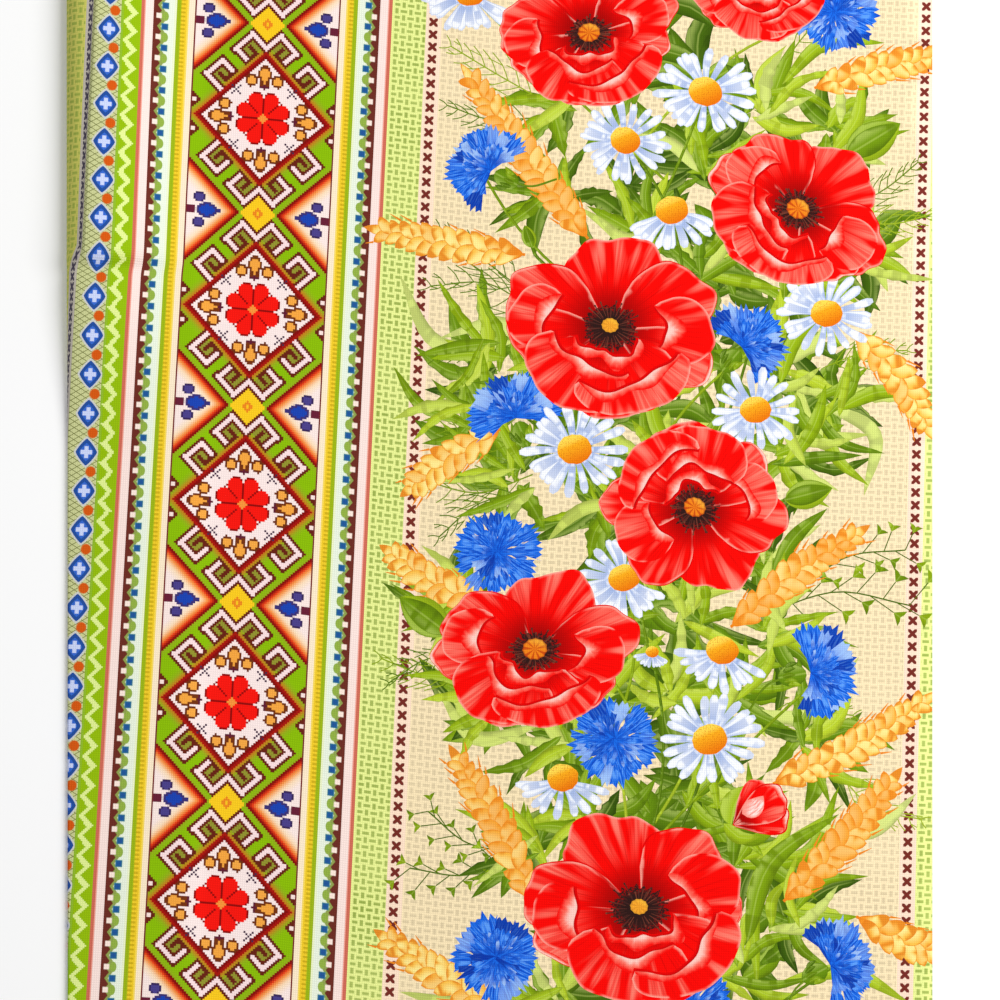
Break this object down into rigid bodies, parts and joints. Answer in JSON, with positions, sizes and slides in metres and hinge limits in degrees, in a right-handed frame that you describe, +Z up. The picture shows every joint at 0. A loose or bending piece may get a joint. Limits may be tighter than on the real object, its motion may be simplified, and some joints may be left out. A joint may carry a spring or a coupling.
{
  "type": "printed linen tablecloth cut length",
  "caption": "Cut length of printed table linen lying face up, with one long margin rolled under in a soft fold that a crease pinches and that presses flat lower down.",
  "frame": {"origin": "The middle of the base of the whole cloth, on the surface it lies on.", "axes": "+Z up, out of the printed face. +Y along the length of the cloth, the way the printed borders run. +X across it, away from the folded margin."},
  "size_m": [0.487, 0.6, 0.0177],
  "materials": {
    "printed_linen": "plain woven linen with a printed face and a paler reverse"
  },
  "bodies": {
    "root": {"cloth": "printed_linen"}
  },
  "joints": []
}
